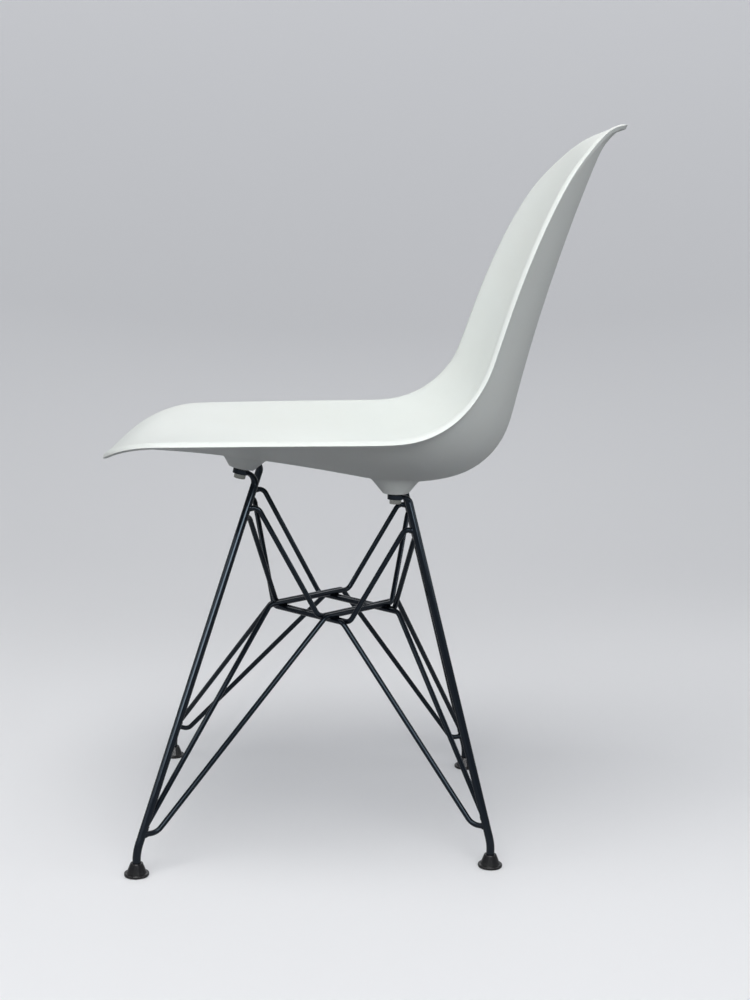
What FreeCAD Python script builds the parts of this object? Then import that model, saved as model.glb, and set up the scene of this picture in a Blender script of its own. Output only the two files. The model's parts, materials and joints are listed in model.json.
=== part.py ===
import FreeCAD, Part
import Sketcher
import math
import os

# Moulded side chair: a one-piece plastic seat shell on a welded wire base.
# Millimetres, +Z up, the seat faces -Y, the sitter's left is +X.
# The origin lies on the floor under the middle of the chair's box.

Vector = FreeCAD.Vector
doc = FreeCAD.newDocument("shell_chair")

# Driving dimensions
SIZES = {
    # seat shell along its middle: arcs, each with a length and the heading at its end
    "shell_front_y": -291.3,
    "shell_front_height": 440.3,
    "front_heading": 33.0,
    "front_roll_length": 36.0,
    "seat_heading": -2.4,
    "seat_length": 265.0,
    "seat_end_heading": -10.8,
    "dish_length": 94.5,
    "dish_end_heading": 13.4,
    "lumbar_length": 96.4,
    "lumbar_end_heading": 77.6,
    "back_length": 304.0,
    "back_end_heading": 68.8,
    "flare_length": 54.7,
    "flare_end_heading": 31.0,
    # seat shell along its side, the same way
    "side_front_y": -281.1,
    "side_front_height": 459.3,
    "side_front_heading": 26.0,
    "side_roll_length": 54.0,
    "side_seat_heading": 2.0,
    "side_seat_length": 254.0,
    "side_seat_end_heading": 0.7,
    "side_turn_length": 140.6,
    "side_turn_end_heading": 74.8,
    "side_back_length": 226.0,
    "side_back_end_heading": 73.4,
    "side_top_length": 189.0,
    "side_top_end_heading": 64.4,
    # where the arcs of the side line end, as shares of the back's straight length
    "side_turn_share": 0.2,
    "side_back_share": 0.68,
    # seat shell across
    "seat_half_width": 220.5,
    "seat_front_narrowing": 7.0,
    "back_half_width": 181.8,
    "waist_start_share": 0.1,
    "waist_end_share": 0.4,
    "side_curve_power": 2.54,
    "front_curve_power": 1.7,
    "front_corner_length": 57.0,
    "front_corner_power": 2.37,
    "top_corner_length": 294.5,
    "top_corner_power": 1.76,
    "shell_thickness": 4.5,
    "lip_radius": 9.0,
    "lip_fall": 62.0,
    # moulded bosses, each with its face at a drop below the wall's underside
    "front_boss_x": 57.5,
    "front_boss_y": -138.3,
    "front_boss_drop": 12.05,
    "front_boss_tilt": 11.0,
    "rear_boss_x": 84.0,
    "rear_boss_y": 35.9,
    "rear_boss_drop": 12.55,
    "rear_boss_tilt": 0.0,
    "boss_face_diameter": 29.0,
    "boss_taper": 40.0,
    "boss_root_radius": 5.0,
    "bore_end_clearance": 1.5,
    # threaded inserts, spacers and bolts
    "insert_diameter": 12.0,
    "insert_length": 10.0,
    "insert_clearance": 0.3,
    "spacer_diameter": 17.0,
    "spacer_thickness": 2.0,
    "bolt_diameter": 8.0,
    "bolt_length": 16.0,
    "bolt_thread_clearance": 0.3,
    "bolt_hole_clearance": 0.5,
    "bolt_head_across_flats": 13.0,
    "bolt_head_height": 5.3,
    "bolt_head_chamfer": 0.4,
    # legs
    "leg_diameter": 9.0,
    "front_foot_x": 206.0,
    "front_foot_y": -240.5,
    "rear_foot_x": 172.0,
    "rear_foot_y": 145.9,
    "foot_bend_height": 26.0,
    "foot_bend_radius": 40.0,
    "front_tab_reach": 19.6,
    "front_tab_bend": 12.0,
    "rear_tab_reach": 13.8,
    "rear_tab_bend": 9.0,
    "tab_width": 18.0,
    "tab_thickness": 5.0,
    "tab_width_inset": 0.4,
    "tab_thickness_inset": 0.05,
    # brace wires
    "wire_diameter": 6.0,
    "wire_bend_radius": 9.5,
    "wire_gap": 0.3,
    "pair_spread": 0.9,
    "weld_gap": 0.3,
    "foot_stub": 18.0,
    "foot_stub_radius": 16.0,
    "top_stub": 12.5,
    "ring_height": 255.6,
    "ring_centre_y": -30.7,
    "ring_half_width": 62.8,
    "ring_half_depth": 61.5,
    "side_low_overrun": 17.0,
    "side_high_overrun": 22.0,
    "end_low_overrun": 24.0,
    "end_high_overrun": 6.5,
    "end_under_overrun": 10.8,
    "front_side_weld": 43.0,
    "front_face_weld": 47.0,
    "rear_side_weld": 44.0,
    "rear_face_weld": 50.2,
    # the upper welds, as drops below the boss faces
    "front_top_face_drop": 55.2,
    "front_top_side_drop": 43.8,
    "rear_top_face_drop": 50.5,
    "rear_top_side_drop": 40.9,
    # glides
    "glide_flange_diameter": 27.0,
    "glide_flange_height": 3.6,
    "glide_shoulder_diameter": 21.6,
    "glide_wall": 1.8,
    "glide_height": 14.5,
    "glide_floor": 3.0,
    "glide_clearance": 0.3,
    "glide_edge_radius": 1.2,
}

sheet = doc.addObject("Spreadsheet::Sheet", "sizes")
for row, (name, value) in enumerate(SIZES.items(), start=1):
    sheet.set("A%d" % row, name)
    sheet.set("B%d" % row, str(value))
    sheet.setAlias("B%d" % row, name)
doc.recompute()

sub_parts = []


def size(name):
    """One driving dimension, read from the sheet."""
    return float(sheet.get(name))


def bind(item, properties):
    """Bind properties to expressions on the sheet."""
    for name, expression in properties.items():
        item.setExpression(name, expression)
    return item


def keep(item, label):
    """Name a finished sub-part."""
    item.Label = label
    sub_parts.append(item)
    return item


def boolean(kind, name, first, second):
    """Boolean of two objects."""
    item = doc.addObject(kind, name)
    item.Base = first
    item.Tool = second
    return item


def standing(origin, up, toward=Vector(0, -1, 0)):
    """Placement whose Z axis is up and whose X axis lies nearest to toward."""
    ahead = (toward - up * toward.dot(up)).normalize()
    return FreeCAD.Placement(origin, FreeCAD.Rotation(ahead, up.cross(ahead), up, "ZXY"))


# Seat shell: the middle line and the side line as chains of arcs
def along_arc(piece, distance):
    """Point of one arc of a chain, at a distance from its start."""
    place, heading, length, end_heading = piece
    first = math.radians(heading)
    turn = math.radians(end_heading - heading)
    if abs(turn) < 1e-6:
        return (place[0] + distance * math.cos(first), place[1] + distance * math.sin(first))
    radius = length / turn
    last = first + distance / radius
    return (
        place[0] + radius * (math.sin(last) - math.sin(first)),
        place[1] - radius * (math.cos(last) - math.cos(first)),
    )


def arc_chain(place, heading, names):
    """Chain of arcs in the YZ plane from names of lengths and end headings."""
    chain = []
    for length_name, heading_name in names:
        piece = (place, heading, size(length_name), size(heading_name))
        chain.append(piece)
        place = along_arc(piece, piece[2])
        heading = piece[3]
    return chain


middle_line = arc_chain(
    (size("shell_front_y"), size("shell_front_height")),
    size("front_heading"),
    [
        ("front_roll_length", "seat_heading"),
        ("seat_length", "seat_end_heading"),
        ("dish_length", "dish_end_heading"),
        ("lumbar_length", "lumbar_end_heading"),
        ("back_length", "back_end_heading"),
        ("flare_length", "flare_end_heading"),
    ],
)
side_line = arc_chain(
    (size("side_front_y"), size("side_front_height")),
    size("side_front_heading"),
    [
        ("side_roll_length", "side_seat_heading"),
        ("side_seat_length", "side_seat_end_heading"),
        ("side_turn_length", "side_turn_end_heading"),
        ("side_back_length", "side_back_end_heading"),
        ("side_top_length", "side_top_end_heading"),
    ],
)
shell_length = sum(piece[2] for piece in middle_line)
seat_start = size("front_roll_length")
seat_end = seat_start + size("seat_length")
back_start = seat_end + size("dish_length") + size("lumbar_length")
# Ends of the zones of the middle line that face the arcs of the side line
side_turn_end = back_start + size("side_turn_share") * size("back_length")
side_back_end = back_start + size("side_back_share") * size("back_length")
zone_ends = [seat_start, seat_end, side_turn_end, side_back_end, shell_length]


def middle_at(distance):
    """Point of the middle line at a distance from its front end, and its heading."""
    left = min(max(distance, 0.0), shell_length)
    for piece in middle_line:
        if left <= piece[2] or piece is middle_line[-1]:
            heading = piece[1] + (piece[3] - piece[1]) * left / piece[2]
            return along_arc(piece, left), math.radians(heading)
        left -= piece[2]


def side_at(distance):
    """Point of the side line that faces a place of the middle line."""
    start = 0.0
    for piece, end in zip(side_line, zone_ends):
        if distance <= end or end == shell_length:
            share = min(max((distance - start) / (end - start), 0.0), 1.0)
            return along_arc(piece, share * piece[2])
        start = end


def eased(share):
    """Share from 0 to 1 with soft ends."""
    share = min(max(share, 0.0), 1.0)
    return share * share * (3.0 - 2.0 * share)


def half_width(distance):
    """Half the width between the side lines."""
    front = size("seat_front_narrowing") * (1.0 - eased(distance / seat_end))
    waist_start = seat_end + size("waist_start_share") * size("dish_length")
    waist_end = back_start + size("waist_end_share") * size("back_length")
    waist = eased((distance - waist_start) / (waist_end - waist_start))
    narrowing = waist * (size("seat_half_width") - size("back_half_width"))
    return size("seat_half_width") - front - narrowing


def shell_point(across, distance):
    """Point of the upper surface, across the shell and along its middle line."""
    middle = middle_at(distance)[0]
    side = side_at(distance)
    blend = eased(distance / seat_end)
    power = size("front_curve_power") * (1.0 - blend) + size("side_curve_power") * blend
    rise = (abs(across) / half_width(distance)) ** power
    return Vector(
        across,
        middle[0] + (side[0] - middle[0]) * rise,
        middle[1] + (side[1] - middle[1]) * rise,
    )


def shell_normal(across, distance):
    """Unit normal of the upper surface, on the sitter's side."""
    step = 1.0
    over = shell_point(across + step, distance) - shell_point(across - step, distance)
    low = max(distance - step, 0.0)
    high = min(distance + step, shell_length)
    along = shell_point(across, high) - shell_point(across, low)
    return over.cross(along).normalize()


def rounded_corner(angle, power):
    """Shares of width and length on a rounded corner, at an angle from its tip."""
    scale = (math.sin(angle) ** power + math.cos(angle) ** power) ** (1.0 / power)
    return math.sin(angle) / scale, math.cos(angle) / scale


def outline_at(turn):
    """Place on the outline for a turn from 0 to 1 round it, starting at the front."""
    front = size("front_corner_length")
    top = size("top_corner_length")
    front_run = 1.2 * math.hypot(front, size("seat_half_width"))
    top_run = 1.15 * math.hypot(top, size("back_half_width"))
    straight = shell_length - front - top
    side = 1.0 if turn < 0.5 else -1.0
    run = 2.0 * min(turn, 1.0 - turn) * (front_run + straight + top_run)
    share = 1.0
    if run < front_run:
        angle = 0.5 * math.pi * run / front_run
        share, reach = rounded_corner(angle, size("front_corner_power"))
        distance = front * (1.0 - reach)
    elif run < front_run + straight:
        distance = front + run - front_run
    else:
        angle = 0.5 * math.pi * (1.0 - (run - front_run - straight) / top_run)
        share, reach = rounded_corner(max(angle, 0.0), size("top_corner_power"))
        distance = shell_length - top * (1.0 - reach)
    return side * share * half_width(distance), distance


# The skins' poles lie on rays that start at a heart in the flat of the seat
SHELL_TURNS = 64
SHELL_RINGS = 30
RING_GRADING = 1.25
LIP_STEPS = 6
shell_heart = seat_start + 0.7 * size("seat_length")


def on_ring(turn, ring, offset):
    """Point of a skin where a ray crosses a ring."""
    across, distance = outline_at(turn)
    share = 1.0 - (1.0 - ring / SHELL_RINGS) ** RING_GRADING
    place = (across * share, shell_heart + (distance - shell_heart) * share)
    return shell_point(*place) - shell_normal(*place) * offset


def shell_ray(turn, offset):
    """Poles from the heart of the shell to the end of its rolled lip.

    The first two keep the skin flat at the heart. Each of the others stands off the
    skin by a sixth of the bend there, so that the smooth skin passes through its points.
    """
    points = [on_ring(turn, ring, offset) for ring in range(SHELL_RINGS + 1)]
    slope = on_ring(turn, 0.5, offset) - on_ring(turn, -0.5, offset)
    row = [points[0], points[0] + slope / 3.0]
    for before, point, after in zip(points, points[1:], points[2:]):
        row.append(point - (before + after - point * 2.0) / 6.0)
    row.append(points[-1])
    across, distance = outline_at(turn)
    edge = shell_point(across, distance)
    normal = shell_normal(across, distance)
    ahead = shell_point(*outline_at((turn + 0.003) % 1.0))
    behind = shell_point(*outline_at((turn - 0.003) % 1.0))
    outward = (ahead - behind).cross(normal).normalize()
    heading = middle_at(distance)[1]
    upright = Vector(0.0, -math.sin(heading), math.cos(heading))
    roll = math.asin(outward.dot(upright)) + math.radians(size("lip_fall"))
    radius = size("lip_radius")
    centre = edge - normal * radius
    for step in range(1, LIP_STEPS + 1):
        angle = roll * step / LIP_STEPS
        ray = normal * math.cos(angle) + outward * math.sin(angle)
        row.append(centre + ray * (radius - offset))
    return row


def spline_skin(offset):
    """Smooth skin through the rays, closed round the shell."""
    rows = [shell_ray(number / SHELL_TURNS, offset) for number in range(SHELL_TURNS)]
    inner = len(rows[0]) - 4
    skin = Part.BSplineSurface()
    skin.buildFromPolesMultsKnots(
        rows,
        [1] * (SHELL_TURNS + 1),
        [4] + [1] * inner + [4],
        [float(number) for number in range(SHELL_TURNS + 1)],
        [float(number) for number in range(inner + 2)],
        True,
        False,
        3,
        3,
    )
    return skin


def thin_shell():
    """The moulded wall: upper skin, lower skin and the edge of the lip."""
    upper = spline_skin(0.0)
    lower = spline_skin(size("shell_thickness"))
    rims = [skin.vIso(skin.bounds()[3]).toShape() for skin in (upper, lower)]
    faces = Part.makeCompound([
        upper.toShape(),
        lower.toShape(),
        Part.makeRuledSurface(rims[0], rims[1]),
    ])
    faces.sewShape()
    solid = Part.makeSolid(faces.Shells[0])
    return solid if solid.Volume > 0 else solid.reversed()


shell_wall = doc.addObject("Part::Feature", "shell_wall")
shell_wall.Shape = thin_shell()


def wall_over(across, depth):
    """Place of the wall above a point: distance along the shell, and underside height."""
    low = 0.0
    high = shell_length
    while high - low > 0.001:
        distance = 0.5 * (low + high)
        if shell_point(across, distance).y < depth:
            low = distance
        else:
            high = distance
    drop = size("shell_thickness") / shell_normal(across, low).z
    return low, shell_point(across, low).z - drop


# Places of the four fixings, each with its side and the names of its sizes
class Corner:
    """One leg with its boss: where they stand and which way the boss points."""

    def __init__(self, end, side):
        self.end = end
        self.side = side
        self.name = end + ("_left" if side > 0 else "_right")
        tilt = math.radians(size(end + "_boss_tilt"))
        self.up = Vector(0.0, math.sin(tilt), math.cos(tilt))
        self.forward = Vector(0.0, -math.cos(tilt), math.sin(tilt))
        boss_x = side * size(end + "_boss_x")
        boss_y = size(end + "_boss_y")
        self.wall_place, underside = wall_over(boss_x, boss_y)
        self.boss = Vector(boss_x, boss_y, underside - size(end + "_boss_drop"))
        self.tab_top = self.boss - self.up * size("spacer_thickness")
        self.tab = self.tab_top - self.up * (0.5 * size("tab_thickness"))
        self.head = self.tab_top - self.up * size("tab_thickness")
        self.bend = self.tab - self.forward * size(end + "_tab_reach")
        foot_x = side * size(end + "_foot_x")
        self.foot = Vector(foot_x, size(end + "_foot_y"), size("glide_floor"))
        self.knee = Vector(foot_x, size(end + "_foot_y"), size("foot_bend_height"))
        self.axis = (self.bend - self.knee).normalize()

    def at_height(self, height):
        """Point of the leg's straight axis at a height."""
        return self.knee + self.axis * ((height - self.knee.z) / self.axis.z)


corners = [Corner(end, side) for end in ("front", "rear") for side in (1, -1)]


def corner(name):
    return next(item for item in corners if item.name == name)


# Seat shell: bosses cut off in the middle of the wall, rounded roots and blind bores
BOSS_REACH = 2.5
PATCH_STEPS = 4


def wall_block(item, half_span):
    """Block that fills the space above the middle of the wall over a boss."""
    depth = 0.5 * size("shell_thickness")
    rows = []
    for column in range(-PATCH_STEPS, PATCH_STEPS + 1):
        row = []
        for step in range(-PATCH_STEPS, PATCH_STEPS + 1):
            across = item.boss.x + half_span * column / PATCH_STEPS
            distance = item.wall_place + half_span * step / PATCH_STEPS
            row.append(shell_point(across, distance) - shell_normal(across, distance) * depth)
        rows.append(row)
    patch = Part.BSplineSurface()
    patch.interpolate(rows)
    return patch.toShape().extrude(Vector(0, 0, 2 * half_span))


bosses = []
boss_bores = []
for item in corners:
    cone = bind(doc.addObject("Part::Cone", item.name + "_boss_cone"), {
        "Radius1": "sizes.boss_face_diameter / 2",
        "Radius2": "sizes.boss_face_diameter / 2 + sizes.%s_boss_drop * %s * tan(sizes.boss_taper)"
                   % (item.end, BOSS_REACH),
        "Height": "sizes.%s_boss_drop * %s" % (item.end, BOSS_REACH),
    })
    cone.Placement = standing(item.boss, item.up)
    doc.recompute()
    trim = doc.addObject("Part::Feature", item.name + "_boss_trim")
    trim.Shape = wall_block(item, 1.4 * cone.Radius2.Value)
    bosses.append(boolean("Part::Cut", item.name + "_boss", cone, trim))
    bore = bind(doc.addObject("Part::Cylinder", item.name + "_boss_bore"), {
        "Radius": "sizes.insert_diameter / 2 + sizes.insert_clearance",
        "Height": "max(sizes.insert_length; sizes.bolt_length - sizes.tab_thickness"
                  " - sizes.spacer_thickness) + sizes.bore_end_clearance",
    })
    bore.Placement = standing(item.boss, item.up)
    boss_bores.append(bore)

moulding = doc.addObject("Part::MultiFuse", "shell_with_bosses")
moulding.Shapes = [shell_wall] + bosses
doc.recompute()
roots = []
for number, edge in enumerate(moulding.Shape.Edges, start=1):
    faces = moulding.Shape.ancestorsOfType(edge, Part.Face)
    kinds = {face.Surface.TypeId for face in faces}
    if kinds == {"Part::GeomCone", "Part::GeomBSplineSurface"}:
        roots.append((number, size("boss_root_radius"), size("boss_root_radius")))
rounded = doc.addObject("Part::Fillet", "shell_with_rounded_bosses")
rounded.Base = moulding
rounded.Edges = roots
bores = doc.addObject("Part::Compound", "boss_bores")
bores.Links = boss_bores
keep(boolean("Part::Cut", "seat_shell", rounded, bores), "seat_shell")


# Bent rods
def bent_path(points, radii):
    """Wire through points, with an arc of its own radius at each inner point."""
    edges = []
    start = points[0]
    for before, corner_point, after, radius in zip(points, points[1:], points[2:], radii):
        back = (before - corner_point).normalize()
        ahead = (after - corner_point).normalize()
        half = 0.5 * back.getAngle(ahead)
        arc_start = corner_point + back * (radius / math.tan(half))
        arc_end = corner_point + ahead * (radius / math.tan(half))
        middle = (back + ahead).normalize() * (radius / math.sin(half) - radius)
        edges.append(Part.makeLine(start, arc_start))
        edges.append(Part.Arc(arc_start, corner_point + middle, arc_end).toShape())
        start = arc_end
    edges.append(Part.makeLine(start, points[-1]))
    return Part.Wire(edges)


def rod(name, path, diameter_name):
    """Round rod swept along a path."""
    spine = doc.addObject("Part::Feature", name + "_path")
    spine.Shape = path
    section = bind(doc.addObject("Part::Circle", name + "_section"), {
        "Radius": "sizes.%s / 2" % diameter_name,
    })
    first = path.OrderedEdges[0]
    tangent = first.tangentAt(first.FirstParameter)
    section.Placement = standing(path.OrderedVertexes[0].Point, tangent, Vector(0.1, 0.9, 0.4))
    sweep = doc.addObject("Part::Sweep", name)
    sweep.Sections = [section]
    sweep.Spine = (spine, ["Edge%d" % number for number in range(1, len(path.Edges) + 1)])
    sweep.Solid = True
    return sweep


# Legs: a round rod whose top end is bent forward and pressed flat into a drilled tab
def oval(name, place, direction, wide, thin):
    """Oval section across a rod's direction, wide across the chair."""
    section = doc.addObject("Part::Ellipse", name)
    section.MajorRadius = wide
    section.MinorRadius = thin
    section.Placement = standing(place, direction, Vector(1, 0, 0))
    return section


def leg(item):
    """Rod from the glide up to the tab under the boss."""
    name = item.name + "_leg"
    radius = size(item.end + "_tab_bend")
    back = (item.knee - item.bend).normalize()
    half = 0.5 * back.getAngle(item.forward)
    arc_start = item.bend + back * (radius / math.tan(half))
    arc_end = item.bend + item.forward * (radius / math.tan(half))
    path = bent_path([item.foot, item.knee, arc_start], [size("foot_bend_radius")])
    bar = rod(name + "_rod", path, "leg_diameter")
    full = 0.5 * size("leg_diameter")
    flat = 0.5 * size("tab_thickness") - size("tab_thickness_inset")
    wide = 0.5 * size("tab_width") - size("tab_width_inset")
    centre = item.bend + (back + item.forward).normalize() * (radius / math.sin(half))
    sections = []
    for number, share in enumerate((0.0, 0.35, 0.7, 1.0)):
        reach = (arc_start - centre) * math.sin((1 - share) * (math.pi / 2 - half) * 2)
        reach += (arc_end - centre) * math.sin(share * (math.pi / 2 - half) * 2)
        reach = reach.normalize() * radius
        axis = (arc_start - centre).cross(arc_end - centre).normalize()
        heading = axis.cross(reach).normalize()
        sections.append(oval(
            "%s_flat_%d" % (name, number),
            centre + reach,
            heading,
            full + (wide - full) * eased(share),
            full + (flat - full) * eased(share),
        ))
    flattened = doc.addObject("Part::Loft", name + "_flattened")
    flattened.Sections = sections
    flattened.Solid = True
    plate = bind(doc.addObject("Part::Box", name + "_tab"), {
        "Width": "sizes.tab_width",
        "Height": "sizes.tab_thickness",
    })
    start = (item.tab - arc_end).dot(item.forward)
    plate.Length = start
    side_step = item.up.cross(item.forward) * (0.5 * size("tab_width"))
    plate.Placement = standing(item.head - item.forward * start - side_step, item.up)
    end = bind(doc.addObject("Part::Cylinder", name + "_tab_end"), {
        "Radius": "sizes.tab_width / 2",
        "Height": "sizes.tab_thickness",
    })
    end.Placement = standing(item.head, item.up)
    body = doc.addObject("Part::MultiFuse", name + "_body")
    body.Shapes = [bar, flattened, plate, end]
    hole = bind(doc.addObject("Part::Cylinder", name + "_hole"), {
        "Radius": "sizes.bolt_diameter / 2 + sizes.bolt_hole_clearance",
        "Height": "sizes.tab_thickness * 3",
    })
    hole.Placement = standing(item.head - item.up * size("tab_thickness"), item.up)
    return keep(boolean("Part::Cut", name, body, hole), name)


for item in corners:
    leg(item)

# Brace wires: each climbs from the foot of one leg, runs along one side of the woven
# ring and climbs on to the top of the leg across the chair
ring_points = {
    "left": Vector(size("ring_half_width"), size("ring_centre_y"), 0),
    "right": Vector(-size("ring_half_width"), size("ring_centre_y"), 0),
    "front": Vector(0, size("ring_centre_y") - size("ring_half_depth"), 0),
    "rear": Vector(0, size("ring_centre_y") + size("ring_half_depth"), 0),
}
ring_centre = Vector(0, size("ring_centre_y"), 0)
wire_spacing = size("wire_diameter") + size("wire_gap")


def stub_end(weld, toward, reach):
    """Bend at the end of the level stub that leaves a weld."""
    return weld + Vector(toward.x - weld.x, toward.y - weld.y, 0).normalize() * reach


def weld_clearance(name, item, height):
    """Cutter a little wider than the leg, round its axis at a weld."""
    cutter = bind(doc.addObject("Part::Cylinder", name), {
        "Radius": "sizes.leg_diameter / 2 + sizes.weld_gap",
        "Height": "sizes.leg_diameter * 8",
    })
    start = item.at_height(height) - item.axis * (4 * size("leg_diameter"))
    cutter.Placement = standing(start, item.axis)
    return cutter


def brace(name, first, second, high, outer, foot, foot_weld, low_overrun, top, top_drop, top_overrun):
    """Wire from a leg's foot past two ring points to another leg's top.

    An outer wire leaves the foot by a level stub and a wide bend. An inner one runs
    straight into the leg, and its low end stands off the pair, where the outer wire
    climbs over it.
    """
    begin = ring_points[first]
    finish = ring_points[second]
    run = (finish - begin).normalize()
    square = Vector(run.y, -run.x, 0)
    if square.dot(begin - ring_centre) < 0:
        square = -square
    shift = square * (0.5 * wire_spacing * (1 if outer else -1))
    level = Vector(0, 0, size("ring_height") + 0.5 * wire_spacing * (1 if high else -1))
    spread = Vector() if outer else square * size("pair_spread")
    low_bend = begin - run * size(low_overrun) + shift - spread + level
    high_bend = finish + run * size(top_overrun) + shift + level
    foot_height = size(foot_weld)
    top_height = corner(top).boss.z - size(top_drop)
    foot_end = corner(foot).at_height(foot_height)
    top_end = corner(top).at_height(top_height)
    points = [low_bend, high_bend, stub_end(top_end, high_bend, size("top_stub")), top_end]
    radii = [size("wire_bend_radius")] * 3
    if outer:
        points.insert(0, stub_end(foot_end, low_bend, size("foot_stub")))
        radii.insert(0, size("foot_stub_radius"))
    path = bent_path([foot_end] + points, radii)
    wire = rod(name + "_wire", path, "wire_diameter")
    cutters = doc.addObject("Part::Compound", name + "_ends")
    cutters.Links = [
        weld_clearance(name + "_foot_cut", corner(foot), foot_height),
        weld_clearance(name + "_top_cut", corner(top), top_height),
    ]
    return keep(boolean("Part::Cut", name, wire, cutters), name)


brace("brace_left_rear_outer", "left", "rear", True, True,
      "front_left", "front_side_weld", "side_low_overrun",
      "rear_right", "rear_top_face_drop", "end_high_overrun")
brace("brace_left_rear_inner", "rear", "left", True, False,
      "rear_right", "rear_face_weld", "end_low_overrun",
      "front_left", "front_top_side_drop", "side_high_overrun")
brace("brace_left_front_outer", "left", "front", False, True,
      "rear_left", "rear_side_weld", "side_low_overrun",
      "front_right", "front_top_face_drop", "end_under_overrun")
brace("brace_left_front_inner", "front", "left", False, False,
      "front_right", "front_face_weld", "end_low_overrun",
      "rear_left", "rear_top_side_drop", "side_high_overrun")
brace("brace_right_rear_outer", "right", "rear", False, True,
      "front_right", "front_side_weld", "side_low_overrun",
      "rear_left", "rear_top_face_drop", "end_under_overrun")
brace("brace_right_rear_inner", "rear", "right", False, False,
      "rear_left", "rear_face_weld", "end_low_overrun",
      "front_right", "front_top_side_drop", "side_high_overrun")
brace("brace_right_front_outer", "right", "front", True, True,
      "rear_right", "rear_side_weld", "side_low_overrun",
      "front_left", "front_top_face_drop", "end_high_overrun")
brace("brace_right_front_inner", "front", "right", True, False,
      "front_left", "front_face_weld", "end_low_overrun",
      "rear_right", "rear_top_side_drop", "side_high_overrun")


# Turned bodies: the spacers and the glides
def whole(name):
    """Sketch dimension equal to a size."""
    return size(name), "sizes." + name


def half(name, *margins):
    """Sketch dimension equal to half a size plus margins."""
    value = 0.5 * size(name) + sum(size(margin) for margin in margins)
    return value, " + ".join(["sizes.%s / 2" % name] + ["sizes." + margin for margin in margins])


ZERO = (0.0, None)


def turned_body(name, outline):
    """Body turned about its own Z axis from an outline of radius and height."""
    body = doc.addObject("PartDesign::Body", name)
    sketch = body.newObject("Sketcher::SketchObject", name + "_outline")
    plane = next(item for item in body.Origin.OriginFeatures if item.Role == "XZ_Plane")
    sketch.AttachmentSupport = [(plane, "")]
    sketch.MapMode = "FlatFace"
    points = [Vector(radius[0], height[0], 0) for radius, height in outline]
    count = len(points)
    for number in range(count):
        sketch.addGeometry(Part.LineSegment(points[number], points[(number + 1) % count]))
    for number in range(count):
        following = (number + 1) % count
        sketch.addConstraint(Sketcher.Constraint("Coincident", number, 2, following, 1))
    for number, (radius, height) in enumerate(outline):
        for kind, (value, expression), axis in (("DistanceX", radius, -2), ("DistanceY", height, -1)):
            if expression is None:
                sketch.addConstraint(Sketcher.Constraint("PointOnObject", number, 1, axis))
                continue
            index = sketch.addConstraint(Sketcher.Constraint(kind, -1, 1, number, 1, value))
            sketch.setExpression("Constraints[%d]" % index, expression)
    turned = body.newObject("PartDesign::Revolution", name + "_turned")
    turned.Profile = sketch
    turned.ReferenceAxis = (sketch, ["V_Axis"])
    turned.Angle = 360
    return body


bolt_hole = half("bolt_diameter", "bolt_hole_clearance")
for item in corners:
    name = item.name + "_spacer"
    spacer = turned_body(name, [
        (bolt_hole, ZERO),
        (half("spacer_diameter"), ZERO),
        (half("spacer_diameter"), whole("spacer_thickness")),
        (bolt_hole, whole("spacer_thickness")),
    ])
    spacer.Placement = standing(item.tab_top, item.up)
    keep(spacer, name)

glide_bore = half("leg_diameter", "glide_clearance")
glide_top = half("leg_diameter", "glide_clearance", "glide_wall")
for item in corners:
    name = item.name + "_glide"
    glide = turned_body(name, [
        (ZERO, ZERO),
        (half("glide_flange_diameter"), ZERO),
        (half("glide_flange_diameter"), whole("glide_flange_height")),
        (half("glide_shoulder_diameter"), whole("glide_flange_height")),
        (glide_top, whole("glide_height")),
        (glide_bore, whole("glide_height")),
        (glide_bore, whole("glide_floor")),
        (ZERO, whole("glide_floor")),
    ])
    doc.recompute()
    turned = glide.Tip
    rims = []
    for number, edge in enumerate(turned.Shape.Edges, start=1):
        radius = getattr(edge.Curve, "Radius", 0.0)
        flange = abs(radius - 0.5 * size("glide_flange_diameter")) < 1e-4
        crown = abs(radius - glide_top[0]) < 1e-4
        if flange or crown:
            rims.append("Edge%d" % number)
    softened = glide.newObject("PartDesign::Fillet", name + "_softened")
    softened.Base = (turned, rims)
    bind(softened, {"Radius": "sizes.glide_edge_radius"})
    glide.Placement = FreeCAD.Placement(Vector(item.foot.x, item.foot.y, 0), FreeCAD.Rotation())
    keep(glide, name)


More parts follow.
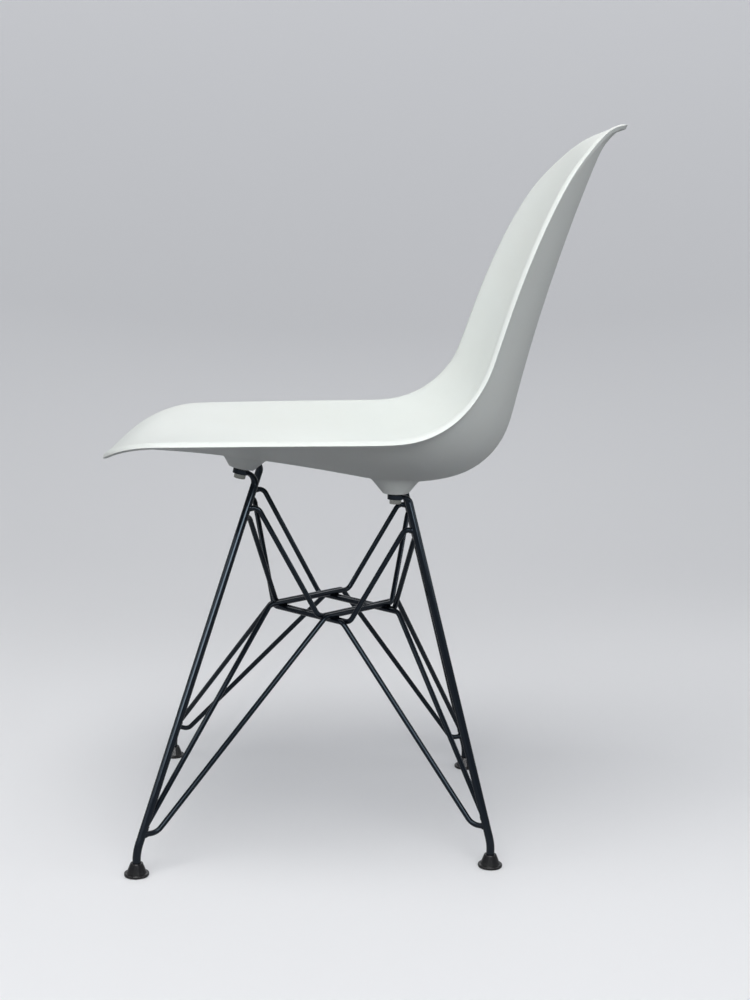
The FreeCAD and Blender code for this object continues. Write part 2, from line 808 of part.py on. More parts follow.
# Bolts and threaded inserts, each kind one group of four solids
bolts = []
inserts = []
for item in corners:
    hexagon = bind(doc.addObject("Part::Prism", item.name + "_bolt_hexagon"), {
        "Circumradius": "sizes.bolt_head_across_flats / 2 / cos(30)",
        "Height": "sizes.bolt_head_height",
    })
    hexagon.Polygon = 6
    taper = bind(doc.addObject("Part::Cone", item.name + "_bolt_taper"), {
        "Radius1": "sizes.bolt_head_across_flats / 2 - sizes.bolt_head_chamfer",
        "Radius2": "sizes.bolt_head_across_flats / 2 - sizes.bolt_head_chamfer"
                   " + sizes.bolt_head_height * tan(60)",
        "Height": "sizes.bolt_head_height",
    })
    shank = bind(doc.addObject("Part::Cylinder", item.name + "_bolt_shank"), {
        "Radius": "sizes.bolt_diameter / 2",
        "Height": "sizes.bolt_length",
    })
    face = item.head - item.up * size("bolt_head_height")
    hexagon.Placement = standing(face, item.up, Vector(1, 0, 0))
    taper.Placement = standing(face, item.up)
    shank.Placement = standing(item.head, item.up)
    head = boolean("Part::Common", item.name + "_bolt_head", hexagon, taper)
    bolts.append(boolean("Part::Fuse", item.name + "_bolt", head, shank))
    sleeve = bind(doc.addObject("Part::Cylinder", item.name + "_insert_sleeve"), {
        "Radius": "sizes.insert_diameter / 2",
        "Height": "sizes.insert_length",
    })
    opening = bind(doc.addObject("Part::Cylinder", item.name + "_insert_opening"), {
        "Radius": "sizes.bolt_diameter / 2 + sizes.bolt_thread_clearance",
        "Height": "sizes.insert_length",
    })
    sleeve.Placement = standing(item.boss, item.up)
    opening.Placement = standing(item.boss, item.up)
    inserts.append(boolean("Part::Cut", item.name + "_insert", sleeve, opening))

for label, members in (("mounting_bolts", bolts), ("threaded_inserts", inserts)):
    group = doc.addObject("Part::Compound", label)
    group.Links = members
    keep(group, label)

# Check and write the sub-parts
doc.recompute()
for item in doc.Objects:
    if "Invalid" in item.State or "Error" in item.State:
        raise RuntimeError("%s did not build" % item.Label)
os.makedirs("parts", exist_ok=True)
whole_box = FreeCAD.BoundBox()
for item in sub_parts:
    shape = item.Shape
    if shape.isNull() or not shape.isValid() or not shape.Solids:
        raise RuntimeError("%s has no valid solid" % item.Label)
    whole_box.add(shape.BoundBox)
    shape.exportStep("parts/%s.step" % item.Label)
    print(item.Label, len(shape.Solids), "solids", round(shape.Volume / 1000, 2), "cm3")
print("box", whole_box)
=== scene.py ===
# %% [markdown]
# # A moulded shell chair on a woven wire base
# This lesson dresses a finished chair frame so that it looks like the real thing. The
# chair has a thin white plastic shell, black powder-coated rods and wires, zinc bolts
# and black floor glides. The frame already holds every solid at its true size in metres,
# so the work here is finishes, weld beads, light and camera.

import json
import math

import bmesh
import bpy
from mathutils import Euler, Matrix, Vector


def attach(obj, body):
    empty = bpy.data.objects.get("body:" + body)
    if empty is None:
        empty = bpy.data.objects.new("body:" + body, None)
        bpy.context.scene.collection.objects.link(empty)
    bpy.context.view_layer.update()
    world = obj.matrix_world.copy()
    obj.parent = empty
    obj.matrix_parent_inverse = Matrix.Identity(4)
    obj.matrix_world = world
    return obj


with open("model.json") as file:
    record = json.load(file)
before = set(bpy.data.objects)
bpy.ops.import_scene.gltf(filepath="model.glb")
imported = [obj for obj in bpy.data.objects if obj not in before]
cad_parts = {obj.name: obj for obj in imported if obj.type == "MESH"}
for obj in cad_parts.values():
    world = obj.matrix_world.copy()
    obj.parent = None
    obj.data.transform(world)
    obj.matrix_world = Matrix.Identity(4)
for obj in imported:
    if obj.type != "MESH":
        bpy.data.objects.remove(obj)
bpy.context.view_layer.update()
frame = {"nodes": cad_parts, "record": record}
nodes = frame["nodes"]
print("CAD nodes:", len(nodes))

# %% [markdown]
# ## Small tools
# Blender's operators act on whatever is selected, and the loaded nodes start selected.
# So each new piece begins with everything deselected, and a finished piece has its
# place applied to its mesh, which leaves its object at the origin.

# %% Helpers for modelling
MM = 0.001
SMOOTH_UP_TO = math.radians(60)


def start_fresh():
    """Leave edit mode and deselect everything."""
    if bpy.context.mode != "OBJECT":
        bpy.ops.object.mode_set(mode="OBJECT")
    bpy.ops.object.select_all(action="DESELECT")


def only(piece):
    """Make one piece the selected and active one."""
    start_fresh()
    piece.select_set(True)
    bpy.context.view_layer.objects.active = piece


def pick_faces(piece, wanted):
    """In edit mode, select the faces whose centre and normal suit a test."""
    mesh = bmesh.from_edit_mesh(piece.data)
    bpy.ops.mesh.select_all(action="DESELECT")
    bpy.ops.mesh.select_mode(type="FACE")
    for face in mesh.faces:
        if wanted(face.calc_center_median(), face.normal):
            face.select_set(True)
    bmesh.update_edit_mesh(piece.data)


def finish_piece(piece, name):
    """Bake a piece's place, smooth its shading, and let it ride with the chair."""
    only(piece)
    bpy.ops.object.transform_apply(location=True, rotation=True, scale=True)
    bpy.ops.object.shade_smooth_by_angle(angle=SMOOTH_UP_TO)
    piece.name = name
    piece.data.name = name
    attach(piece, "root")
    print(name, "has", len(piece.data.polygons), "faces")
    return piece


def placed_copy(piece, place):
    """A copy with its own mesh, put at a place that is baked into the mesh."""
    twin = piece.copy()
    twin.data = piece.data.copy()
    twin.data.transform(place)
    bpy.context.scene.collection.objects.link(twin)
    return twin


def join_pieces(parts):
    """Join several pieces into the first one."""
    start_fresh()
    for part in parts:
        part.select_set(True)
    bpy.context.view_layer.objects.active = parts[0]
    bpy.ops.object.join()
    return parts[0]


# %% [markdown]
# ## The camera
# The chair stands side on, its front to the left, seen from just above the seat with a
# standard lens. A camera can be placed by eye, but this one was worked out from where the
# feet and wires appear, and is stated as a place and three angles. A sensor fitted to the
# picture's height keeps the framing in a tall picture.

# %% Camera at the photograph's angle
CAMERA_PLACE = Vector((1.8558, -0.0391, 0.6733))
LOOK_DOWN = math.radians(8.905)
LOOK_ASIDE = math.radians(-1.685)
LEAN = math.radians(1.121)

camera_data = bpy.data.cameras.new("chair_camera")
camera_data.sensor_fit = "VERTICAL"
camera_data.sensor_height = 36.0
camera_data.lens = 57.5
camera = bpy.data.objects.new("chair_camera", camera_data)
bpy.context.scene.collection.objects.link(camera)
bpy.context.scene.camera = camera

level = Matrix.Rotation(LOOK_ASIDE, 3, "Z") @ Euler((math.pi / 2, 0, math.pi / 2)).to_matrix()
turned = level @ Matrix.Rotation(-LOOK_DOWN, 3, "X") @ Matrix.Rotation(LEAN, 3, "Z")
camera.matrix_world = Matrix.Translation(CAMERA_PLACE) @ turned.to_4x4()
print("camera looks along", [round(value, 3) for value in -turned.col[2]])

# %% [markdown]
# ## Node tools
# A finish is easiest to read when each node is made and wired in one line. The first
# helper adds a node with its settings, the second starts a node group, and the third
# starts a material, whose fixed values stand on the shader's own sockets.

# %% Helpers for materials
def add_node(tree, kind, inputs=None, **settings):
    """Add a shader node with its settings, and values or links for its inputs."""
    node = tree.nodes.new(kind)
    for name, value in settings.items():
        setattr(node, name, value)
    for name, value in (inputs or {}).items():
        if isinstance(value, bpy.types.NodeSocket):
            tree.links.new(value, node.inputs[name])
        else:
            node.inputs[name].default_value = value
    return node


def new_group(name, inputs, outputs):
    """Shader node group with named number inputs and named outputs."""
    group = bpy.data.node_groups.new(name, "ShaderNodeTree")
    for label, value in inputs:
        socket = group.interface.new_socket(label, in_out="INPUT", socket_type="NodeSocketFloat")
        socket.default_value = value
    for label in outputs:
        group.interface.new_socket(label, in_out="OUTPUT", socket_type="NodeSocketFloat")
    return group, group.nodes.new("NodeGroupInput"), group.nodes.new("NodeGroupOutput")


def new_finish(name, color, roughness, **constants):
    """Material with a Principled shader whose fixed values stand on its own sockets."""
    material = bpy.data.materials.new(name)
    material.use_nodes = True
    tree = material.node_tree
    shader = tree.nodes["Principled BSDF"]
    shader.inputs["Base Color"].default_value = color
    shader.inputs["Roughness"].default_value = roughness
    for label, value in constants.items():
        shader.inputs[label.replace("_", " ")].default_value = value
    return material, tree, shader


# %% [markdown]
# ## Three effects that the finishes share
# Moulded plastic and powder coat both have a fine skin of bumps, so one group makes that
# skin at two scales. Both also pick up soft smudges from hands and cloths, and thin
# scuffs, which change how sharply they shine. Dust gathers near the floor. An effect
# could be built again in every material, but as a node group it is built once, and each
# finish gives it its own values.

# %% Effect: moulded skin
skin_group, skin_in, skin_out = new_group(
    "Moulded skin", [("Grain Scale", 900.0), ("Wave Scale", 40.0), ("Wave Share", 0.5)], ["Height"])
skin_place = add_node(skin_group, "ShaderNodeTexCoord").outputs["Object"]
skin_grain = add_node(skin_group, "ShaderNodeTexNoise", {
    "Vector": skin_place, "Scale": skin_in.outputs["Grain Scale"], "Detail": 3.0, "Roughness": 0.6})
skin_wave = add_node(skin_group, "ShaderNodeTexNoise", {
    "Vector": skin_place, "Scale": skin_in.outputs["Wave Scale"], "Detail": 2.0, "Roughness": 0.4})
skin_mix = add_node(skin_group, "ShaderNodeMix", {
    "Factor": skin_in.outputs["Wave Share"], "A": skin_grain.outputs["Fac"],
    "B": skin_wave.outputs["Fac"]}, data_type="FLOAT")
skin_group.links.new(skin_mix.outputs["Result"], skin_out.inputs["Height"])
print("group made:", skin_group.name)

# %% [markdown]
# Handling marks come in two kinds. Smudges are soft clouds from hands and cloths, so they
# are plain noise. Scuffs are thin strokes. They could be painted on by hand, but a noise
# that is stretched by a Mapping node, with only its highest peaks kept, needs no picture
# and never repeats.

# %% Effect: handling marks
marks_group, marks_in, marks_out = new_group(
    "Handling marks", [("Smudge Scale", 9.0), ("Scuff Scale", 60.0)], ["Smudges", "Scuffs"])
marks_place = add_node(marks_group, "ShaderNodeTexCoord").outputs["Object"]
smudge_noise = add_node(marks_group, "ShaderNodeTexNoise", {
    "Vector": marks_place, "Scale": marks_in.outputs["Smudge Scale"], "Detail": 5.0,
    "Roughness": 0.62, "Distortion": 0.4})
smudge_range = add_node(marks_group, "ShaderNodeMapRange", {
    "Value": smudge_noise.outputs["Fac"], "From Min": 0.4, "From Max": 0.7})
scuff_stretch = add_node(marks_group, "ShaderNodeMapping", {
    "Vector": marks_place, "Scale": (1.0, 0.08, 0.5), "Rotation": (0.2, 0.1, 0.6)})
scuff_noise = add_node(marks_group, "ShaderNodeTexNoise", {
    "Vector": scuff_stretch.outputs["Vector"], "Scale": marks_in.outputs["Scuff Scale"],
    "Detail": 4.0, "Roughness": 0.7, "Distortion": 0.6})
scuff_range = add_node(marks_group, "ShaderNodeMapRange", {
    "Value": scuff_noise.outputs["Fac"], "From Min": 0.66, "From Max": 0.76})
marks_group.links.new(smudge_range.outputs["Result"], marks_out.inputs["Smudges"])
marks_group.links.new(scuff_range.outputs["Result"], marks_out.inputs["Scuffs"])
print("group made:", marks_group.name)

# %% [markdown]
# Dust settles on what stands near the floor. It could be painted on each foot, but the
# height in the Object coordinates already tells how far the floor is. So the effect fades
# out at a height that each finish chooses, and a fine noise breaks it up, because dust
# never lies evenly.

# %% Effect: floor dust
dust_group, dust_in, dust_out = new_group("Floor dust", [("Dust Height", 0.06)], ["Dust"])
dust_place = add_node(dust_group, "ShaderNodeTexCoord").outputs["Object"]
dust_height = add_node(dust_group, "ShaderNodeSeparateXYZ", {"Vector": dust_place}).outputs["Z"]
dust_fall = add_node(dust_group, "ShaderNodeMapRange", {
    "Value": dust_height, "From Min": dust_in.outputs["Dust Height"], "From Max": 0.0})
dust_noise = add_node(dust_group, "ShaderNodeTexNoise", {
    "Vector": dust_place, "Scale": 220.0, "Detail": 6.0, "Roughness": 0.7})
dust_amount = add_node(dust_group, "ShaderNodeMath", {
    0: dust_fall.outputs["Result"], 1: dust_noise.outputs["Fac"]}, operation="MULTIPLY")
dust_group.links.new(dust_amount.outputs["Value"], dust_out.inputs["Dust"])
print("group made:", dust_group.name)

# %% [markdown]
# A finish places these effects with its own values and turns their masks into colour,
# gloss and bumps. Six short helpers keep that readable. The first four place an effect,
# mix two colours by a mask, turn a mask into a range of values, and weaken a mask. The
# last two feed the shader's roughness and its bumps.

# %% Helpers for finishes
MIX_FACTOR = 0
MIX_FIRST_COLOR = 6
MIX_SECOND_COLOR = 7
MIX_COLOR_RESULT = 2


def effect(tree, group, **values):
    """Place an effect in a material with its own values."""
    node = tree.nodes.new("ShaderNodeGroup")
    node.node_tree = group
    for label, value in values.items():
        node.inputs[label.replace("_", " ")].default_value = value
    return node.outputs


def mixed_color(tree, factor, first, second):
    """Colour between two colours, or between a colour output and a colour."""
    mix = add_node(tree, "ShaderNodeMix", {
        MIX_FACTOR: factor, MIX_FIRST_COLOR: first, MIX_SECOND_COLOR: second}, data_type="RGBA")
    return mix.outputs[MIX_COLOR_RESULT]


def ranged(tree, value, low, high):
    """Turn a mask of 0 to 1 into a value between two limits."""
    return add_node(tree, "ShaderNodeMapRange", {
        "Value": value, "To Min": low, "To Max": high}).outputs["Result"]


def scaled(tree, value, share):
    """A mask made weaker."""
    return add_node(tree, "ShaderNodeMath", {0: value, 1: share}, operation="MULTIPLY").outputs[0]


def rougher(tree, shader, gloss, extra):
    """Feed the shader's roughness from a range, plus what marks or dust add to it."""
    total = add_node(tree, "ShaderNodeMath", {0: gloss, 1: extra}, operation="ADD").outputs[0]
    tree.links.new(total, shader.inputs["Roughness"])


def skin_bump(tree, shader, strength, distance, **scales):
    """Feed the shader's normal from the moulded skin at given scales."""
    skin = effect(tree, skin_group, **scales)
    bump = add_node(tree, "ShaderNodeBump", {
        "Height": skin["Height"], "Strength": strength, "Distance": distance})
    tree.links.new(bump.outputs["Normal"], shader.inputs["Normal"])


# %% [markdown]
# ## White shell
# The shell is satin polypropylene: a nearly neutral white with a faint fine grain from
# the mould, so its highlights are broad. One flat white would do from afar, but it looks
# like card up close. So it gets a trace of light scattering inside the wall, a very soft
# wandering of tone, and a few scuffs that show mostly in the gloss.

# %% Finish: shell plastic
CLEAN_SHELL = (0.775, 0.812, 0.788, 1.0)
SMUDGED_SHELL = (0.76, 0.785, 0.755, 1.0)
SCUFFED_SHELL = (0.70, 0.71, 0.69, 1.0)

shell_white, tree, shader = new_finish(
    "shell_plastic", CLEAN_SHELL, 0.46, Specular_IOR_Level=0.42, IOR=1.49,
    Subsurface_Weight=0.06, Subsurface_Scale=4.0 * MM, Subsurface_Radius=(1.0, 0.9, 0.8))
marks = effect(tree, marks_group, Smudge_Scale=6.0, Scuff_Scale=45.0)
toned = mixed_color(tree, scaled(tree, marks["Smudges"], 0.55), CLEAN_SHELL, SMUDGED_SHELL)
tree.links.new(mixed_color(tree, scaled(tree, marks["Scuffs"], 0.25), toned, SCUFFED_SHELL),
               shader.inputs["Base Color"])
rougher(tree, shader, ranged(tree, marks["Smudges"], 0.42, 0.52),
        scaled(tree, marks["Scuffs"], 0.12))
skin_bump(tree, shader, 0.10, 0.6 * MM, Grain_Scale=1400.0, Wave_Scale=16.0, Wave_Share=0.35)
print("finish made:", shell_white.name)

# %% [markdown]
# ## Black powder coat
# Powder coat melts into a glossy skin that still carries a gentle orange peel, so the
# long highlights on the wires waver a little. Near the floor it is dustier and duller.
# A dark grey paint would be the easy way, but on thin wires it looks flat. So the colour
# is almost black and the roughness low, and what the eye sees is mostly the crisp, cool
# reflection of the lamps along each wire.

# %% Finish: frame coating
CLEAN_COAT = (0.003, 0.004, 0.007, 1.0)
SCUFFED_COAT = (0.016, 0.018, 0.022, 1.0)
DUSTY_COAT = (0.10, 0.097, 0.09, 1.0)
COOL_SHINE = (0.66, 0.83, 1.0, 1.0)

coat_black, tree, shader = new_finish(
    "frame_coating", CLEAN_COAT, 0.11, Specular_IOR_Level=0.45, IOR=1.5,
    Specular_Tint=COOL_SHINE)
marks = effect(tree, marks_group, Smudge_Scale=30.0, Scuff_Scale=160.0)
dust = effect(tree, dust_group, Dust_Height=0.07)
worn = mixed_color(tree, scaled(tree, marks["Scuffs"], 0.35), CLEAN_COAT, SCUFFED_COAT)
tree.links.new(mixed_color(tree, scaled(tree, dust["Dust"], 0.14), worn, DUSTY_COAT),
               shader.inputs["Base Color"])
rougher(tree, shader, ranged(tree, marks["Smudges"], 0.09, 0.15),
        scaled(tree, dust["Dust"], 0.25))
skin_bump(tree, shader, 0.06, 0.4 * MM, Grain_Scale=1200.0, Wave_Scale=260.0, Wave_Share=0.75)
print("finish made:", coat_black.name)

# %% [markdown]
# ## Black plastic
# The glides and the spacers are plain black plastic. The mould was polished, so the cone
# of a glide shows a small sharp highlight, while the rim that rubs on the floor is
# scuffed and a little grey. Two materials could do that, but the shared effects do it in
# one, with marks at a finer scale and dust on the lowest 8 mm only.

# %% Finish: black plastic
CLEAN_GLIDE = (0.005, 0.005, 0.006, 1.0)
SCUFFED_GLIDE = (0.03, 0.03, 0.029, 1.0)
DUSTY_GLIDE = (0.11, 0.107, 0.10, 1.0)

plastic_black, tree, shader = new_finish(
    "black_plastic", CLEAN_GLIDE, 0.18, Specular_IOR_Level=0.5, IOR=1.5)
marks = effect(tree, marks_group, Smudge_Scale=60.0, Scuff_Scale=300.0)
dust = effect(tree, dust_group, Dust_Height=0.008)
worn = mixed_color(tree, scaled(tree, marks["Scuffs"], 0.5), CLEAN_GLIDE, SCUFFED_GLIDE)
tree.links.new(mixed_color(tree, scaled(tree, dust["Dust"], 0.25), worn, DUSTY_GLIDE),
               shader.inputs["Base Color"])
tree.links.new(ranged(tree, marks["Smudges"], 0.14, 0.26), shader.inputs["Roughness"])
skin_bump(tree, shader, 0.12, 0.3 * MM, Grain_Scale=2600.0, Wave_Scale=300.0, Wave_Share=0.3)
print("finish made:", plastic_black.name)

# %% [markdown]
# ## Zinc and brass
# The bolts are zinc-plated, with a faint yellow-green tone that clouds from place to
# place. The inserts are plain turned brass. Both are metals, so their colour is in the
# reflection, and most of their detail is in the roughness. They differ in tone alone, so
# one function makes both.

# %% Finishes: bolts and inserts
def metal_finish(name, light, dark, smooth, rough):
    """Metal whose tone and gloss wander, with fine tool marks."""
    material, tree, shader = new_finish(name, light, smooth, Metallic=1.0)
    marks = effect(tree, marks_group, Smudge_Scale=120.0, Scuff_Scale=400.0)
    tree.links.new(mixed_color(tree, marks["Smudges"], light, dark), shader.inputs["Base Color"])
    tree.links.new(ranged(tree, marks["Smudges"], smooth, rough), shader.inputs["Roughness"])
    skin_bump(tree, shader, 0.2, 0.3 * MM, Grain_Scale=3000.0, Wave_Scale=700.0, Wave_Share=0.4)
    print("finish made:", name)
    return material


zinc = metal_finish("zinc_steel", (0.42, 0.43, 0.40, 1.0), (0.26, 0.27, 0.24, 1.0), 0.24, 0.42)
brass = metal_finish("insert_brass", (0.72, 0.56, 0.28, 1.0), (0.52, 0.38, 0.17, 1.0), 0.3, 0.5)

# %% [markdown]
# ## Dressing the frame
# Finishes could be set piece by piece, but the frame's record names a material slot for
# every node. Each slot now gets its finish, so a look is changed here and nowhere else.

# %% Give every frame node its finish
FINISHES = {
    "shell_plastic": shell_white,
    "frame_coating": coat_black,
    "black_plastic": plastic_black,
    "zinc_steel": zinc,
    "insert_brass": brass,
}
for entry in frame["record"]["subparts"]:
    solid = nodes[entry["node"]]
    for place in range(len(solid.material_slots)):
        solid.material_slots[place].material = FINISHES[entry["material_slot"]]

# %% [markdown]
# ## Weld beads on the legs
# Each brace wire is welded to two legs, and the melted steel leaves a small flared
# collar round its end. A plain cone would be quicker, but a real collar curves in. So one
# bead is modelled along +X as a cylinder that starts inside the leg, and its outer face
# is extruded and drawn in step by step to the wire's size. A fine ripple keeps it from
# looking turned. The rest are copies, each turned to its own wire.

# %% Model one weld bead
BEAD_RADIUS = 4.0 * MM
BEAD_START = 1.0 * MM
BEAD_LENGTH = 3.2 * MM
BEAD_STEPS = [
    (0.6 * MM, 0.95),
    (0.6 * MM, 0.92),
    (0.7 * MM, 0.93),
    (0.9 * MM, 0.95),
    (0.9 * MM, 0.975),
]
FACING = 0.9
END_MARGIN = 0.01 * MM
RIPPLE_SIZE = 1.8 * MM
RIPPLE_HEIGHT = 0.25 * MM

start_fresh()
bpy.ops.mesh.primitive_cylinder_add(
    vertices=24, radius=BEAD_RADIUS, depth=BEAD_LENGTH,
    location=(BEAD_START + BEAD_LENGTH / 2, 0, 0), rotation=(0, math.pi / 2, 0))
bead = bpy.context.object
bpy.ops.object.transform_apply(location=True, rotation=True, scale=True)
bpy.ops.object.mode_set(mode="EDIT")
for reach, share in BEAD_STEPS:
    edge = max(vertex.co.x for vertex in bmesh.from_edit_mesh(bead.data).verts)
    pick_faces(bead, lambda centre, normal: normal.x > FACING and centre.x > edge - END_MARGIN)
    bpy.ops.mesh.extrude_region_move(TRANSFORM_OT_translate={"value": (reach, 0, 0)})
    bpy.ops.transform.resize(value=(1.0, share, share))
bpy.ops.mesh.select_all(action="SELECT")
bpy.ops.mesh.normals_make_consistent(inside=False)
bpy.ops.object.mode_set(mode="OBJECT")

rough_melt = bpy.data.textures.new("rough_melt", "CLOUDS")
rough_melt.noise_scale = RIPPLE_SIZE
smoothing = bead.modifiers.new("smoothing", "SUBSURF")
smoothing.levels = smoothing.render_levels = 1
ripple = bead.modifiers.new("ripple", "DISPLACE")
ripple.texture = rough_melt
ripple.strength = RIPPLE_HEIGHT
ripple.mid_level = 0.4
only(bead)
for modifier in ("smoothing", "ripple"):
    bpy.ops.object.modifier_apply(modifier=modifier)
print("bead reach in mm:", round(max(vertex.co.x for vertex in bead.data.vertices) / MM, 1))

# %% [markdown]
# Now the beads go to their joints. Sixteen places and turns could be typed in, but a leg
# is a straight line between its foot bend and its tab bend, so a weld's height in
# millimetres gives its point on that line. The wire's own mesh tells which way it leaves
# the leg: its nearest points lie on that side.

# %% Place the beads
JOINT_REACH = 13.0 * MM
KNEES = {"front": Vector((0.206, -0.2405, 0.026)), "rear": Vector((0.172, 0.1459, 0.026))}
TAB_BENDS = {"front": Vector((0.0575, -0.1199, 0.4181)), "rear": Vector((0.084, 0.0497, 0.3995))}
WELDS = {
    "brace_left_rear_outer": [("front_left", 43.0), ("rear_right", 353.5)],
    "brace_left_rear_inner": [("rear_right", 50.2), ("front_left", 382.4)],
    "brace_left_front_outer": [("rear_left", 44.0), ("front_right", 371.0)],
    "brace_left_front_inner": [("front_right", 47.0), ("rear_left", 363.1)],
    "brace_right_rear_outer": [("front_right", 43.0), ("rear_left", 353.5)],
    "brace_right_rear_inner": [("rear_left", 50.2), ("front_right", 382.4)],
    "brace_right_front_outer": [("rear_right", 44.0), ("front_left", 371.0)],
    "brace_right_front_inner": [("front_left", 47.0), ("rear_right", 363.1)],
}


def leg_point(leg, height):
    """Point on a leg's straight axis at a height."""
    end, side = leg.split("_")
    mirror = Vector((1 if side == "left" else -1, 1, 1))
    knee = KNEES[end] * mirror
    bend = TAB_BENDS[end] * mirror
    return knee.lerp(bend, (height - knee.z) / (bend.z - knee.z))


def wire_heading(brace, joint):
    """Direction in which a wire leaves a leg, from the wire's mesh round the joint."""
    near = [vertex.co - joint for vertex in nodes[brace].data.vertices
            if (vertex.co - joint).length < JOINT_REACH]
    return sum(near, Vector()).normalized()


def finish_welds(parts, name):
    """Join a set of welds into one piece and coat it like the wires."""
    welds = finish_piece(join_pieces(parts), name)
    welds.data.materials.clear()
    welds.data.materials.append(coat_black)


bead_sets = {}
for brace, joints in WELDS.items():
    for leg, height in joints:
        joint = leg_point(leg, height * MM)
        outward = wire_heading(brace, joint)
        across = Vector((0, 0, 1)).cross(outward).normalized()
        upward = outward.cross(across)
        turn = Matrix((outward, across, upward)).transposed().to_4x4()
        bead_sets.setdefault(leg, []).append(placed_copy(bead, Matrix.Translation(joint) @ turn))
for leg, beads in bead_sets.items():
    finish_welds(beads, leg + "_weld_beads")
bpy.data.objects.remove(bead)
print("weld beads placed on", len(bead_sets), "legs")

# %% [markdown]
# ## Spot welds in the ring
# Where two wires of the woven ring cross, they are fused by a spot weld, which squeezes
# out a small pad between them. A ball would fill the gap, but melted steel clings to both
# wires. So the pad starts as a flattened sphere, its top is drawn out along the upper wire
# and its underside along the lower one, and the finished pad is copied to every crossing.

# %% Model one spot weld
PAD_RADIUS = 1.5 * MM
PAD_FLATNESS = 0.6
DRAWN_LONG = 1.5
DRAWN_THIN = 0.8
FACING_UP = 0.55

start_fresh()
bpy.ops.mesh.primitive_uv_sphere_add(segments=20, ring_count=12, radius=PAD_RADIUS)
pad = bpy.context.object
bpy.ops.object.mode_set(mode="EDIT")
bpy.ops.mesh.select_all(action="SELECT")
bpy.ops.transform.resize(value=(1.0, 1.0, PAD_FLATNESS))
pick_faces(pad, lambda centre, normal: normal.z > FACING_UP)
bpy.ops.transform.resize(value=(DRAWN_LONG, DRAWN_THIN, 1.0))
pick_faces(pad, lambda centre, normal: normal.z < -FACING_UP)
bpy.ops.transform.resize(value=(DRAWN_THIN, DRAWN_LONG, 1.0))
bpy.ops.object.mode_set(mode="OBJECT")
softening = pad.modifiers.new("softening", "SUBSURF")
softening.levels = softening.render_levels = 1
only(pad)
bpy.ops.object.modifier_apply(modifier="softening")
print("spot weld faces:", len(pad.data.polygons))

# %% [markdown]
# The ring is a diamond of four wire pairs. At each of its four corners two pairs cross,
# which makes four crossings. The places could be measured one by one, but they follow
# from the diamond's size and the spacing of the wires in a pair.

# %% Place the spot welds
RING_CENTRE = Vector((0, -0.0307, 0.2556))
RING_HALF_WIDTH = 0.0628
RING_HALF_DEPTH = 0.0615
WIRE_SPACING = 6.3 * MM

corners = {
    "left": Vector((RING_HALF_WIDTH, 0, 0)),
    "right": Vector((-RING_HALF_WIDTH, 0, 0)),
    "front": Vector((0, -RING_HALF_DEPTH, 0)),
    "rear": Vector((0, RING_HALF_DEPTH, 0)),
}
rising = (corners["left"] - corners["front"]).normalized()
falling = (corners["left"] - corners["rear"]).normalized()
square = Vector((-falling.y, falling.x, 0))
step = WIRE_SPACING / abs(rising.dot(square))
turn = Matrix((falling, square, Vector((0, 0, 1)))).transposed().to_4x4()
pads = []
for corner in corners.values():
    for first in (-0.5, 0.5):
        for second in (-0.5, 0.5):
            spot = RING_CENTRE + corner + rising * (first * step) + falling * (second * step)
            pads.append(placed_copy(pad, Matrix.Translation(spot) @ turn))
finish_welds(pads, "ring_spot_welds")
bpy.data.objects.remove(pad)
print("spot welds placed:", len(pads))

# %% [markdown]
# ## Floor and backdrop
# The chair stands on a plain pale floor that curves up into a backdrop, as in a photo
# studio. One wall behind the chair would be enough for one view, but a round bowl looks
# the same from every side. It starts as a wide cylinder. Its top is taken off, its faces
# are turned inwards, and the edge between floor and wall gets a large rounding.

# %% Studio bowl
BOWL_RADIUS = 4.6
BOWL_HEIGHT = 6.0
COVE_RADIUS = 3.0

start_fresh()
bpy.ops.mesh.primitive_cylinder_add(
    vertices=128, radius=BOWL_RADIUS, depth=BOWL_HEIGHT, location=(0, 0, BOWL_HEIGHT / 2))
bowl = bpy.context.object
bpy.ops.object.transform_apply(location=True, rotation=True, scale=True)
bpy.ops.object.mode_set(mode="EDIT")
pick_faces(bowl, lambda centre, normal: normal.z > FACING)
bpy.ops.mesh.delete(type="FACE")
bpy.ops.mesh.select_all(action="SELECT")
bpy.ops.mesh.flip_normals()
pick_faces(bowl, lambda centre, normal: normal.z > FACING)
bpy.ops.mesh.region_to_loop()
bpy.ops.mesh.bevel(offset=COVE_RADIUS, segments=24)
bpy.ops.object.mode_set(mode="OBJECT")
bpy.ops.object.shade_smooth()
bowl.name = "studio_bowl"
print("bowl faces:", len(bowl.data.polygons))

# %% [markdown]
# The bowl's finish is a trick of the studio. The camera sees it pale, with a faint glow
# that grows up the wall and makes good the lamplight missing there, and reflections see
# it at a third of that. To the light that bounces about, the floor is a darker grey, so
# the underside of the shell keeps its shade, and the wall glows as softly as the sky that
# it hides.

# %% Finish: studio bowl
SKY_COLOR = (0.93, 0.96, 1.0)
SKY_STRENGTH = 0.22
HIDDEN_SKY = (*(SKY_STRENGTH * share for share in SKY_COLOR), 1.0)
NO_GLOW = (0.0, 0.0, 0.0, 1.0)
LOW_GLOW = (0.12, 0.123, 0.13, 1.0)
HIGH_GLOW = (0.27, 0.275, 0.29, 1.0)
GLOW_HEIGHT = 1.6
PALE_BOWL = (0.72, 0.725, 0.74, 1.0)
DARK_BOWL = (0.20, 0.20, 0.21, 1.0)
MIRRORED_SHARE = 0.33

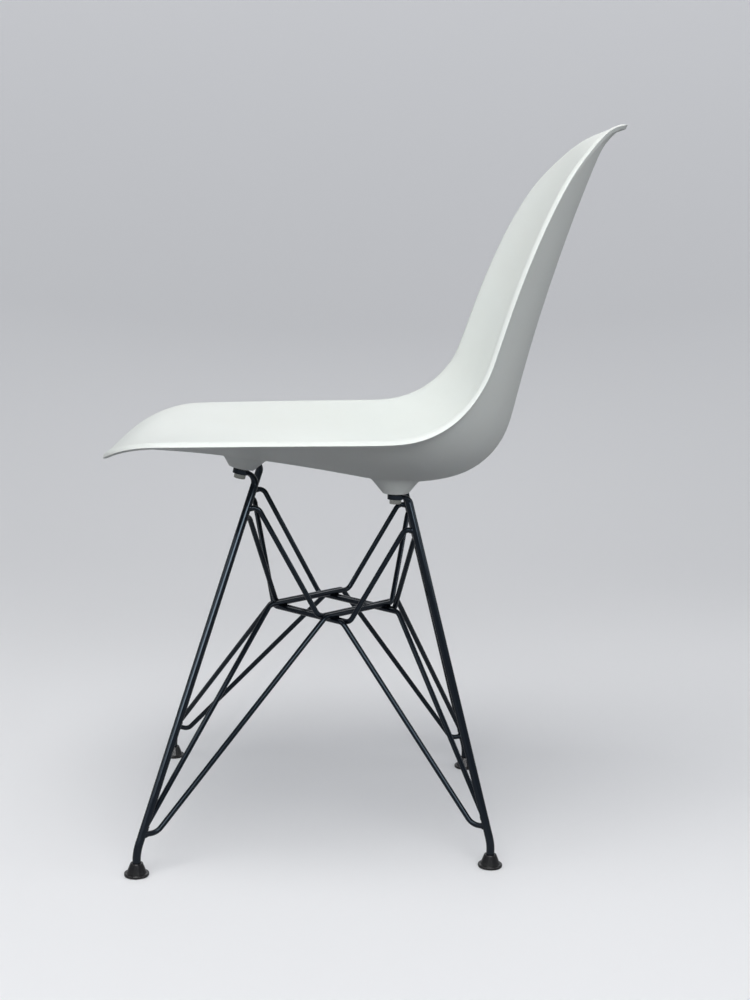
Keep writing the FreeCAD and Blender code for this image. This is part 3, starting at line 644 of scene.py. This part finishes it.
bowl_finish, tree, shader = new_finish("studio_bowl", PALE_BOWL, 0.9, Emission_Strength=1.0)
ray = add_node(tree, "ShaderNodeLightPath").outputs
seen = add_node(tree, "ShaderNodeMath", {
    0: ray["Is Camera Ray"],
    1: scaled(tree, ray["Is Glossy Ray"], MIRRORED_SHARE)}, operation="MAXIMUM").outputs[0]
tree.links.new(mixed_color(tree, seen, DARK_BOWL, PALE_BOWL), shader.inputs["Base Color"])
bowl_place = add_node(tree, "ShaderNodeTexCoord").outputs["Object"]
bowl_height = add_node(tree, "ShaderNodeSeparateXYZ", {"Vector": bowl_place}).outputs["Z"]
on_wall = add_node(tree, "ShaderNodeMapRange", {
    "Value": bowl_height, "From Min": 0.0, "From Max": GLOW_HEIGHT}).outputs["Result"]
hidden_glow = mixed_color(tree, on_wall, NO_GLOW, HIDDEN_SKY)
seen_glow = mixed_color(tree, on_wall, LOW_GLOW, HIGH_GLOW)
tree.links.new(mixed_color(tree, seen, hidden_glow, seen_glow), shader.inputs["Emission Color"])
bowl.data.materials.append(bowl_finish)
print("finish made:", bowl_finish.name)

# %% [markdown]
# ## Light
# The light in the room is soft and plain. One bright sky could give that, but it would
# also wash out the shade below the lip. So a large lamp hangs overhead, a little to the
# camera's side, and weaker ones in front, behind and on the far side light the chair for
# whoever walks round it. A long strip behind the camera is what the black wires reflect:
# a wire shows a lamp only where the angles suit, so the strip has to be long to give every
# wire its thin line of light. An even grey sky fills the rest.

# %% Lamps and sky
def soft_lamp(name, place, target, power, width, height, tint=(1.0, 1.0, 1.0)):
    """Rectangular lamp at a place, turned to a target."""
    data = bpy.data.lights.new(name, "AREA")
    data.shape = "RECTANGLE"
    data.size = width
    data.size_y = height
    data.energy = power
    data.color = tint
    lamp = bpy.data.objects.new(name, data)
    bpy.context.scene.collection.objects.link(lamp)
    lamp.visible_camera = False
    lamp.location = place
    lamp.rotation_euler = (Vector(target) - Vector(place)).to_track_quat("-Z", "Y").to_euler()


SEAT = (0.0, 0.0, 0.5)

soft_lamp("overhead_lamp", (0.8, -0.3, 2.8), SEAT, 34.0, 1.6, 1.6, (1.0, 0.99, 0.97))
soft_lamp("front_lamp", (1.2, -2.4, 1.7), SEAT, 9.0, 1.2, 1.2, (1.0, 0.98, 0.95))
soft_lamp("rear_lamp", (0.5, 2.6, 1.7), SEAT, 9.0, 1.4, 1.4)
soft_lamp("far_lamp", (-2.4, 0.0, 1.8), SEAT, 7.0, 1.6, 1.2)
soft_lamp("strip_lamp", (2.7, 0.0, 1.65), SEAT, 42.0, 3.2, 0.5, (0.98, 0.99, 1.0))

world = bpy.data.worlds.new("studio_sky")
world.use_nodes = True
bpy.context.scene.world = world
sky = world.node_tree.nodes["Background"]
sky.inputs["Color"].default_value = (*SKY_COLOR, 1.0)
sky.inputs["Strength"].default_value = SKY_STRENGTH
bpy.context.scene.view_settings.view_transform = "Standard"
